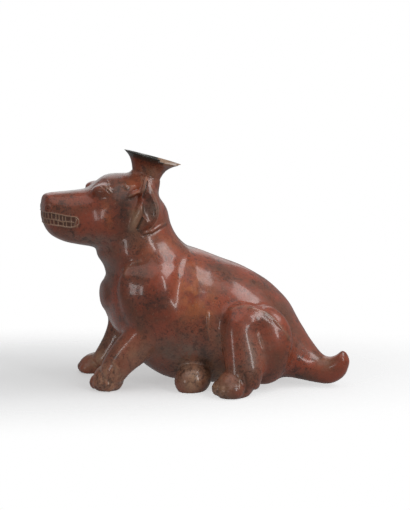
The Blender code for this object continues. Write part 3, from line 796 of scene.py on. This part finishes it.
def straightened(points):
    """The points of the bent body, carried back to the straight one."""
    x = points[:, 0].copy()
    for _ in range(12):
        ahead = np.maximum(0.0, FRONT_BEND_FROM - x)
        behind = np.maximum(0.0, x - REAR_BEND_FROM)
        middle_y = -FRONT_BEND * ahead**2 - REAR_BEND * behind**2
        turn = np.arctan(2 * FRONT_BEND * ahead - 2 * REAR_BEND * behind)
        y = (points[:, 1] - middle_y) / np.cos(turn)
        x = points[:, 0] + y * np.sin(turn)
    return np.column_stack((x, y, points[:, 2]))


def distance_to_path(flat_points, path):
    """How far each point of the drawing is from a line through the path's points."""
    nearest = np.full(len(flat_points), np.inf)
    for start, end in zip(np.array(path[:-1]), np.array(path[1:])):
        run = end - start
        along = np.clip((flat_points - start) @ run / (run @ run), 0.0, 1.0)
        gap = flat_points - start - along[:, None] * run
        nearest = np.minimum(nearest, np.hypot(gap[:, 0], gap[:, 1]))
    return nearest


def stroke(flat_points, path, width):
    return np.exp(-((distance_to_path(flat_points, path) / width) ** 2))


def smooth_step(value, low, high):
    t = np.clip((value - low) / (high - low), 0.0, 1.0)
    return t * t * (3 - 2 * t)


class Drawing:
    """The skin laid out for drawing: the side view of the straight body, of the limbs, and the round of the muzzle."""

    def __init__(self, points, normals, mouth_table):
        straight = straightened(points)
        self.side_view = straight[:, (0, 2)]
        self.limb_view = points[:, (0, 2)]
        self.near = straight[:, 1] < 0
        self.facing = smooth_step(np.abs(normals[:, 1]), 0.15, 0.5)
        outward = np.where(self.near, -normals[:, 1], normals[:, 1]) > 0
        self.facing *= outward
        x, _, z = MOUTH_CENTRE
        turns, lengths = mouth_table
        turn = np.abs(np.arctan2(straight[:, 1], x - straight[:, 0]))
        corner = np.interp(math.radians(MOUTH_CORNER_TURN), turns, lengths)
        self.mouth_view = np.column_stack((corner - np.interp(turn, turns, lengths), straight[:, 2] - z))
        self.on_muzzle = smooth_step(-straight[:, 0], 0.128, 0.132)

    def marks(self):
        """Each mark with its strength at every point."""
        for table, view in ((BODY_MARKS, self.side_view), (LIMB_MARKS, self.limb_view)):
            for mark in table:
                where = self.facing * self.near if mark.near_only else self.facing
                yield mark, where * stroke(view, mark.path, mark.width)

    def mouth_lines(self):
        """How strongly the raised lines of lips and teeth show at every point."""
        lines = [UPPER_LIP, LOWER_LIP, BITE, INNER_CORNER, OUTER_CORNER]
        for gaps, lip in ((UPPER_GAPS, UPPER_LIP), (LOWER_GAPS, LOWER_LIP)):
            for place in np.cumsum(gaps):
                ends = [np.interp(place, *np.array(line).T) for line in (BITE, lip)]
                lines.append(((place, ends[0]), (place, ends[1])))
        strengths = [stroke(self.mouth_view, line, MOUTH_LINE_WIDTH) for line in lines]
        return self.on_muzzle * np.max(strengths, axis=0)

    def mouth_inside(self):
        """How far inside the lips every point is."""
        place, height = self.mouth_view.T
        upper = np.interp(place, *np.array(UPPER_LIP).T)
        lower = np.interp(place, *np.array(LOWER_LIP).T)
        soft = MOUTH_LINE_WIDTH
        between = smooth_step(upper - height, 0.0, soft) * smooth_step(height - lower, 0.0, soft)
        return self.on_muzzle * between * smooth_step(place, 0.0030, 0.0050)

    def swelling(self, swelling):
        gap = (self.side_view - swelling.middle) / swelling.reach
        return self.facing * np.exp(-((gap**2).sum(1) ** 2))

    def rim_band(self):
        """1 close under the sloping rim of the spout, 0 below."""
        front, back = np.array(SPOUT[-1].edge), np.array(SPOUT[-1].other_edge)
        run = (back - front) / np.linalg.norm(back - front)
        below_rim = -(self.side_view - front) @ np.array((-run[1], run[0]))
        return smooth_step(RIM_BAND - below_rim, 0.0, RIM_BAND_EDGE)

    def stain(self, colour):
        strength = np.zeros(len(self.side_view))
        for stain in (stain for stain in STAINS if stain.colour == colour):
            gap = (self.side_view - stain.middle) / stain.reach
            strength = np.maximum(strength, stain.amount * np.exp(-((gap**2).sum(1))))
        return strength


def mouth_table(mesh):
    """How far round the muzzle each turn from its front lies, along the skin at the height of the mouth."""
    points = [vert.co for vert in mesh.vertices]
    skin = BVHTree.FromPolygons(points, [face.vertices for face in mesh.polygons])
    turns = np.radians(np.linspace(0.0, 130.0, MOUTH_SAMPLES))
    route = [skin_point(skin, -turn, 0.0) for turn in turns]
    steps = [(after - before).length for before, after in zip(route, route[1:])]
    return turns, np.concatenate(([0.0], np.cumsum(steps)))


def refine(obj, low, high):
    """Halves the size of the faces in a box of the bent body."""
    bm = bmesh.new()
    bm.from_mesh(obj.data)
    inside = [all(a <= c <= b for a, c, b in zip(low, vert.co, high)) for vert in bm.verts]
    bm.verts.index_update()
    edges = [edge for edge in bm.edges if inside[edge.verts[0].index] and inside[edge.verts[1].index]]
    bmesh.ops.subdivide_edges(bm, edges=edges, cuts=1, use_grid_fill=True)
    bmesh.ops.triangulate(bm, faces=bm.faces)
    bm.to_mesh(obj.data)
    bm.free()


def waves(points, size):
    """Smooth waves of this size, from -1 to 1."""
    return np.array([noise.noise(Vector(point) / size) for point in points])


def carve(dog, table):
    """Presses the marks, the mouth, the nostrils' edges and the unevenness of handwork into the skin."""
    mesh = dog.data
    points = mesh_points(mesh)
    normals = mesh_normals(mesh)
    drawing = Drawing(points, normals, table)
    height = np.zeros(len(points))
    for mark, strength in drawing.marks():
        height += mark.height * strength
    height += MOUTH_LINE_HEIGHT * drawing.mouth_lines() - MOUTH_DEPTH * drawing.mouth_inside()
    straight = straightened(points)
    for side in (-1, 1):
        x, y, z = blob_on_side(NOSTRIL, side).centre
        off = np.linalg.norm(straight - (x, y, z), axis=1) - NOSTRIL_EDGE_RADIUS
        height += NOSTRIL_EDGE_HEIGHT * np.exp(-((off / NOSTRIL_EDGE_WIDTH) ** 2))
    clear_of_mouth = 1.0 - drawing.on_muzzle * smooth_step(0.014 - np.abs(drawing.mouth_view[:, 1]), 0.0, 0.004)
    for swelling in SWELLINGS:
        height += swelling.height * drawing.swelling(swelling)
    for size, rise in WAVES:
        height += rise * clear_of_mouth * waves(points, size)
    set_points(mesh, points + normals * height[:, None])


def cut_in(dog, cutter, layer):
    """Cuts the cutter out, and gives the cut faces their own layer."""
    while len(cutter.data.materials) <= SOOTED_THROAT:
        cutter.data.materials.append(None)
    for face in cutter.data.polygons:
        face.material_index = layer
    boolean(dog, cutter, "DIFFERENCE")


def layer_strength(mesh, layer):
    """1 at the corners of faces in the layer, 0 elsewhere."""
    strength = np.zeros(len(mesh.vertices))
    for face in mesh.polygons:
        if face.material_index == layer:
            strength[list(face.vertices)] = 1.0
    return strength


def add_mask(mesh, name, values):
    attribute = mesh.attributes.new(name, "FLOAT", "POINT")
    attribute.data.foreach_set("value", np.clip(values, 0.0, 1.0).astype(np.float32))


def paint(dog, table):
    """Stores how strongly each colour of clay, wear, dirt, painted highlight, painted shade and painted floor
    reflection shows at every point.
    """
    mesh = dog.data
    drawing = Drawing(mesh_points(mesh), mesh_normals(mesh), table)
    raw = layer_strength(mesh, RAW_CLAY)
    soot = layer_strength(mesh, SOOTED_THROAT)
    outside = 1.0 - np.maximum(raw, soot)
    rub = np.zeros(len(raw))
    dirt = np.zeros(len(raw))
    for mark, strength in drawing.marks():
        rub = np.maximum(rub, mark.rub * strength)
        dirt = np.maximum(dirt, mark.dirt * strength)
    lines = drawing.mouth_lines()
    band = drawing.rim_band()
    chipped = smooth_step(drawing.side_view[:, 0] - RIM_CHIPPED_FROM, 0.0, RIM_BAND_EDGE)
    # Pale wear on raised lines and teeth, with painted highlights on some ridges, and the worn clay where the rim is
    # chipped
    add_mask(mesh, "rub", outside * np.maximum(LINE_WEAR_AND_HIGHLIGHT * rub, np.maximum(MOUTH_RUB * lines, band * chipped)))
    # Dark in grooves and inside the mouth: dirt and painted shade
    add_mask(mesh, "dirt", outside * np.maximum(dirt, MOUTH_DIRT_AND_SHADE * drawing.mouth_inside() * (1 - lines)))
    add_mask(mesh, "smoked_rim", outside * band * (1 - chipped))
    for colour in STAIN_COLOURS:
        add_mask(mesh, colour, outside * drawing.stain(colour))
    add_mask(mesh, "raw", raw)
    add_mask(mesh, "soot", soot)


def stand_in_frame(obj):
    """Moves the dog over the origin, as the solid stands, and fits it exactly into the solid's box."""
    points = mesh_points(obj.data)
    low, high = points.min(0), points.max(0)
    scale = (np.array(CAD_HIGH) - np.array(CAD_LOW)) / (high - low)
    set_points(obj.data, np.array(CAD_LOW) + (points - low) * scale)


HEAD_BOX = ((-0.200, -0.120, 0.174), (-0.045, 0.080, 0.250))


def make_dog():
    dog = soft_forms()
    fuse(dog, SOFT_VOXEL, SOFT_PASSES)
    add_crisp_forms(dog)
    fuse(dog, CRISP_VOXEL, CRISP_PASSES)
    table = mouth_table(dog.data)
    refine(dog, *HEAD_BOX)
    for side in (-1, 1):
        cut_in(dog, scoop_form(side), OUTER_SKIN)
    carve(dog, table)
    boolean(dog, spout_form(), "UNION")
    cut_in(dog, hollow_form(), RAW_CLAY)
    cut_in(dog, bore_form(), SOOTED_THROAT)
    cut_in(dog, chip_form(), RAW_CLAY)
    for side in (-1, 1):
        cut_in(dog, nostril_form(side), OUTER_SKIN)
    cut_soles(dog)
    thin_out(dog, ALL_TRIANGLES)
    paint(dog, table)
    stand_in_frame(dog)
    for face in dog.data.polygons:
        face.material_index = OUTER_SKIN
    dog.data.materials.clear()
    dog.data.materials.append(clay_material())
    dog.data.shade_smooth()
    dog.name = "clay_dog"
    return dog


# The colours of the clay, its slip and its stains, some of which also carry painted shade, painted highlight and
# painted floor reflection
RED_SLIP = (0.320, 0.064, 0.030)
BROWN_SLIP = (0.165, 0.056, 0.031)
ORANGE_CLAY = (0.450, 0.135, 0.047)
GREY_FILM_AND_REFLECTION = (0.210, 0.130, 0.095)
DARK_STAIN_AND_SHADE = (0.030, 0.019, 0.015)
TAN_CLAY = (0.420, 0.235, 0.140)
WORN_EDGE_AND_HIGHLIGHT = (0.360, 0.225, 0.145)
DIRT_AND_SHADE = (0.050, 0.027, 0.016)
BROKEN_CLAY = (0.360, 0.235, 0.165)
SOOT = (0.042, 0.040, 0.030)
SMOKED_RIM = (0.040, 0.037, 0.029)
BLOTCH = (0.050, 0.022, 0.015)
BLACK_SPECK = (0.012, 0.009, 0.008)
PALE_SPECK = (0.330, 0.190, 0.130)


class Nodes:
    """Builds a shader graph with short calls."""

    def __init__(self, material):
        material.use_nodes = True
        self.tree = material.node_tree
        self.shader = self.tree.nodes["Principled BSDF"]
        self.place = self.tree.nodes.new("ShaderNodeTexCoord").outputs["Object"]

    def link(self, source, target):
        self.tree.links.new(source, target)

    def mask(self, name):
        node = self.tree.nodes.new("ShaderNodeAttribute")
        node.attribute_name = name
        return node.outputs["Fac"]

    def noise(self, scale, detail=3.0, roughness=0.55, shift=0.0):
        node = self.tree.nodes.new("ShaderNodeTexNoise")
        node.noise_dimensions = "4D"
        node.inputs["W"].default_value = shift
        node.inputs["Scale"].default_value = scale
        node.inputs["Detail"].default_value = detail
        node.inputs["Roughness"].default_value = roughness
        self.link(self.place, node.inputs["Vector"])
        return node.outputs["Fac"]

    def between(self, value, low, high, start=0.0, end=1.0):
        """Turns values from low to high into values from start to end."""
        node = self.tree.nodes.new("ShaderNodeMapRange")
        node.interpolation_type = "SMOOTHSTEP"
        self.link(value, node.inputs["Value"])
        for name, number in (("From Min", low), ("From Max", high), ("To Min", start), ("To Max", end)):
            node.inputs[name].default_value = number
        return node.outputs["Result"]

    def math(self, operation, one, two):
        node = self.tree.nodes.new("ShaderNodeMath")
        node.operation = operation
        for socket, value in zip(node.inputs, (one, two)):
            if isinstance(value, float):
                socket.default_value = value
            else:
                self.link(value, socket)
        return node.outputs["Value"]

    def blend(self, under, over, amount):
        """Lays one colour over another."""
        node = self.tree.nodes.new("ShaderNodeMix")
        node.data_type = "RGBA"
        for name, value in (("A", under), ("B", over)):
            socket = next(s for s in node.inputs if s.name == name and s.type == "RGBA")
            if isinstance(value, tuple):
                socket.default_value = (*value, 1.0)
            else:
                self.link(value, socket)
        self.link(amount, node.inputs["Factor"])
        return next(s for s in node.outputs if s.type == "RGBA")

    def bump(self, height, strength, distance, below=None):
        node = self.tree.nodes.new("ShaderNodeBump")
        node.inputs["Strength"].default_value = strength
        node.inputs["Distance"].default_value = distance
        self.link(height, node.inputs["Height"])
        if below is not None:
            self.link(below, node.inputs["Normal"])
        return node.outputs["Normal"]


def clay_colour(nodes):
    """Burnished slip with cloudy firing marks, stains, root-like specks, worn edges and old dirt, with painted shade
    in grooves and some hollows, painted highlights on ridges and painted floor reflection underneath.
    """
    clouds = nodes.between(nodes.noise(26.0, 6.0, 0.6), 0.38, 0.64)
    colour = nodes.blend(RED_SLIP, BROWN_SLIP, clouds)
    mottle = nodes.between(nodes.noise(95.0, 5.0, 0.65, 2.0), 0.42, 0.60)
    orange = nodes.math("MULTIPLY", nodes.mask("orange"), nodes.between(nodes.noise(70.0, 4.0, 0.6, 5.0), 0.36, 0.58))
    colour = nodes.blend(colour, ORANGE_CLAY, orange)
    # Grey film, partly painted floor reflection on the undersides
    grey = nodes.math("MULTIPLY", nodes.mask("grey"), nodes.between(mottle, 0.0, 1.0, 0.55, 1.0))
    colour = nodes.blend(colour, GREY_FILM_AND_REFLECTION, grey)
    spots = nodes.between(nodes.noise(170.0, 5.0, 0.7, 7.0), 0.40, 0.62)
    # Dark stains, with painted shade in the ear's fold, between belly and hind leg, and along the back
    dark = nodes.math("MULTIPLY", nodes.mask("dark"), nodes.between(spots, 0.0, 1.0, 0.5, 1.0))
    colour = nodes.blend(colour, DARK_STAIN_AND_SHADE, dark)
    tan = nodes.math("MULTIPLY", nodes.mask("tan"), nodes.between(mottle, 0.0, 1.0, 1.0, 0.55))
    colour = nodes.blend(colour, TAN_CLAY, tan)
    where = nodes.between(nodes.noise(32.0, 3.0, 0.5, 11.0), 0.38, 0.60, 0.2, 1.0)
    blotches = nodes.math("MULTIPLY", where, nodes.between(nodes.noise(190.0, 2.0, 0.5, 29.0), 0.50, 0.66, 0.0, 0.6))
    colour = nodes.blend(colour, BLOTCH, blotches)
    specks = nodes.math("MULTIPLY", where, nodes.between(nodes.noise(640.0, 2.0, 0.5, 13.0), 0.54, 0.64))
    colour = nodes.blend(colour, BLACK_SPECK, nodes.math("MULTIPLY", specks, 0.6))
    pale = nodes.between(nodes.noise(520.0, 2.0, 0.5, 17.0), 0.62, 0.70, 0.0, 0.4)
    colour = nodes.blend(colour, PALE_SPECK, pale)
    colour = nodes.blend(colour, SMOKED_RIM, nodes.mask("smoked_rim"))
    # Dark in grooves, creases and the mouth: dirt and painted shade
    colour = nodes.blend(colour, DIRT_AND_SHADE, nodes.mask("dirt"))
    # Pale worn edges, on some ridges painted highlight
    colour = nodes.blend(colour, WORN_EDGE_AND_HIGHLIGHT, nodes.mask("rub"))
    colour = nodes.blend(colour, BROKEN_CLAY, nodes.mask("raw"))
    colour = nodes.blend(colour, SOOT, nodes.mask("soot"))
    return colour


def clay_material():
    """Burnished clay: glossy where the slip is whole, dull where it is sooted or broken."""
    material = bpy.data.materials.new("burnished_red_clay")
    nodes = Nodes(material)
    nodes.link(clay_colour(nodes), nodes.shader.inputs["Base Color"])
    dull = nodes.math("MAXIMUM", nodes.mask("raw"), nodes.mask("soot"))
    patchy = nodes.between(nodes.noise(60.0, 5.0, 0.65, 19.0), 0.40, 0.65, 0.26, 0.46)
    nodes.link(nodes.math("MAXIMUM", patchy, nodes.math("MULTIPLY", dull, 0.9)), nodes.shader.inputs["Roughness"])
    grain = nodes.bump(nodes.noise(900.0, 3.0, 0.6, 23.0), 0.12, 0.0004)
    pits = nodes.between(nodes.noise(640.0, 2.0, 0.5, 13.0), 0.54, 0.64, 1.0, 0.0)
    relief = nodes.bump(pits, 0.25, 0.0003, grain)
    nodes.link(relief, nodes.shader.inputs["Normal"])
    nodes.shader.inputs["Specular IOR Level"].default_value = 0.34
    nodes.shader.inputs["Coat Weight"].default_value = 0.50
    nodes.shader.inputs["Coat Roughness"].default_value = 0.12
    return material


# The camera: what it looks at, from where, and the scale of the picture at that distance
CAMERA_TARGET = (0.0148, 0.0213, 0.1460)
CAMERA_AZIMUTH = -5.0
CAMERA_ELEVATION = 8.0
CAMERA_DISTANCE = 1.6
PIXELS_PER_METRE = 857.0
PICTURE_HEIGHT = 510
SENSOR = 36.0


def direction(azimuth, elevation):
    """The way from the dog towards a place: azimuth 0 is in front of its near side, and grows towards +X."""
    turn, rise = math.radians(azimuth), math.radians(elevation)
    return Vector((math.sin(turn) * math.cos(rise), -math.cos(turn) * math.cos(rise), math.sin(rise)))


def aim(obj, target, way, distance):
    obj.location = Vector(target) + way * distance
    obj.rotation_euler = way.to_track_quat("Z", "Y").to_euler()
    bpy.context.scene.collection.objects.link(obj)


def make_camera():
    data = bpy.data.cameras.new("camera")
    data.sensor_width = SENSOR
    data.lens = PIXELS_PER_METRE * CAMERA_DISTANCE / PICTURE_HEIGHT * SENSOR
    camera = bpy.data.objects.new("camera", data)
    aim(camera, CAMERA_TARGET, direction(CAMERA_AZIMUTH, CAMERA_ELEVATION), CAMERA_DISTANCE)
    bpy.context.scene.camera = camera


class Lamp(NamedTuple):
    """A soft box: where it stands round the dog, its width and height, and its power in watts."""

    name: str
    azimuth: float
    elevation: float
    distance: float
    size: tuple
    power: float


LIGHT_TARGET = (0.0, 0.0, 0.12)
LAMPS = [
    Lamp("right_box", 80.0, 48.0, 1.3, (0.75, 0.75), 8.0),
    Lamp("right_strip", 40.0, 24.0, 1.3, (0.18, 0.85), 4.2),
    Lamp("left_strip", -44.0, 7.0, 1.3, (0.16, 0.40), 1.1),
    Lamp("top_box", -33.0, 69.0, 1.3, (1.30, 1.30), 3.8),
    Lamp("back_box", 180.0, 30.0, 1.3, (1.00, 1.00), 2.5),
]
ROOM_BRIGHTNESS = 0.22


def make_lights():
    for lamp in LAMPS:
        data = bpy.data.lights.new(lamp.name, "AREA")
        data.shape = "RECTANGLE"
        data.size, data.size_y = lamp.size
        data.energy = lamp.power
        light = bpy.data.objects.new(lamp.name, data)
        light.visible_camera = False
        aim(light, LIGHT_TARGET, direction(lamp.azimuth, lamp.elevation), lamp.distance)
    make_room()


def make_room():
    """A room that looks white from every side, and lights the dog only dimly."""
    world = bpy.data.worlds.new("white_room")
    bpy.context.scene.world = world
    world.use_nodes = True
    nodes = world.node_tree.nodes
    background = nodes["Background"]
    background.inputs["Color"].default_value = (1.0, 1.0, 1.0, 1.0)
    ray = nodes.new("ShaderNodeLightPath")
    strength = nodes.new("ShaderNodeMapRange")
    strength.inputs["To Min"].default_value = ROOM_BRIGHTNESS
    strength.inputs["To Max"].default_value = 1.0
    world.node_tree.links.new(ray.outputs["Is Camera Ray"], strength.inputs["Value"])
    world.node_tree.links.new(strength.outputs["Result"], background.inputs["Strength"])


# The floor: pale paper that fades into the white room, in a soft oval round the dog that lies to its left; the grey of
# the oval is painted shade, darker to the dog's left
FLOOR_SIZE = 6.0
FLOOR_COLOUR = (0.80, 0.805, 0.815)
FLOOR_SHADE_OPACITY = 0.55
SHADE_OVAL_MIDDLE = (-0.22, 0.06, 0.0)
SHADE_OVAL_REACH = (0.75, 0.30, 1.0)
SHADE_OVAL_EDGE = 0.75


def make_floor():
    bpy.ops.mesh.primitive_plane_add(size=FLOOR_SIZE)
    floor = bpy.context.object
    floor.name = "floor"
    material = bpy.data.materials.new("pale_paper")
    nodes = Nodes(material)
    shade_oval = nodes.tree.nodes.new("ShaderNodeMapping")
    shade_oval.vector_type = "TEXTURE"
    shade_oval.inputs["Location"].default_value = SHADE_OVAL_MIDDLE
    shade_oval.inputs["Scale"].default_value = SHADE_OVAL_REACH
    nodes.link(nodes.place, shade_oval.inputs["Vector"])
    fade = nodes.tree.nodes.new("ShaderNodeTexGradient")
    fade.gradient_type = "SPHERICAL"
    nodes.link(shade_oval.outputs["Vector"], fade.inputs["Vector"])
    # The oval's grey is painted shade on the floor; the lamps' shadows show in it as well
    nodes.link(nodes.between(fade.outputs["Fac"], 0.0, SHADE_OVAL_EDGE, 0.0, FLOOR_SHADE_OPACITY), nodes.shader.inputs["Alpha"])
    nodes.shader.inputs["Base Color"].default_value = (*FLOOR_COLOUR, 1.0)
    nodes.shader.inputs["Roughness"].default_value = 0.7
    floor.data.materials.append(material)


for leftover in [obj for obj in bpy.data.objects if obj.type in ("CAMERA", "LIGHT")]:
    bpy.data.objects.remove(leftover)
make_camera()
dog = make_dog()
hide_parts("dog_vessel")
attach(dog, "root")
make_floor()
make_lights()
bpy.context.scene.view_settings.view_transform = "Standard"
